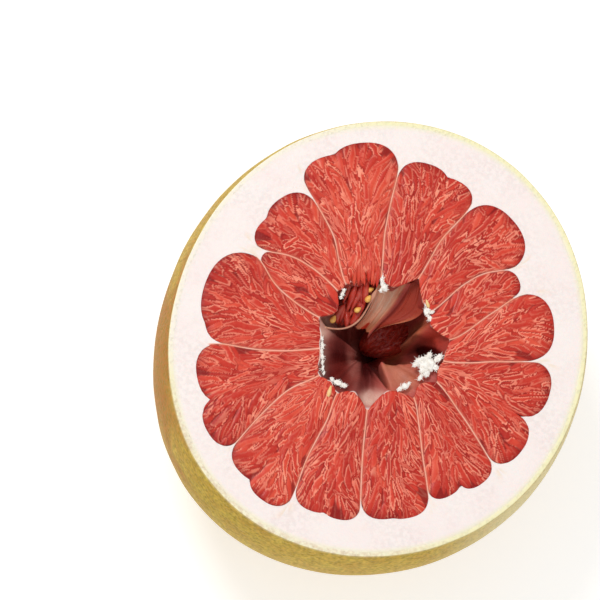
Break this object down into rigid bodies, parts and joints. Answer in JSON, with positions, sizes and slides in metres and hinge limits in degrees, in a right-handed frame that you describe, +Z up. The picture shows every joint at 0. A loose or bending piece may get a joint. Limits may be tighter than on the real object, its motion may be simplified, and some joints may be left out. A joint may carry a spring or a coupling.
{
  "type": "half pomelo",
  "caption": "Half of a pink pomelo cut across its segments, lying cut face up: thin yellow-green rind, thick white pith, pink flesh and a hollow core.",
  "frame": {"origin": "on the surface it rests on, under the middle of its outline seen from above", "axes": "+Z up, out of the cut face; +Y along the longer width of the cut face; -Y is the side nearest the camera in the picture"},
  "size_m": [0.1478, 0.1628, 0.081],
  "materials": {
    "rind": "satin, finely pitted with oil glands",
    "pith": "matt, spongy",
    "flesh": "wet, glossy juice sacs",
    "seed": "satin"
  },
  "bodies": {
    "root": {"rind": "rind", "pith": "pith", "segment_01": "flesh", "segment_02": "flesh", "segment_03": "flesh", "segment_04": "flesh", "segment_05": "flesh", "segment_06": "flesh", "segment_07": "flesh", "segment_08": "flesh", "segment_09": "flesh", "segment_10": "flesh", "segment_11": "flesh", "segment_12": "flesh", "segment_13": "flesh", "segment_14": "flesh", "seed_1": "seed", "seed_2": "seed", "seed_3": "seed", "seed_4": "seed"}
  },
  "joints": []
}
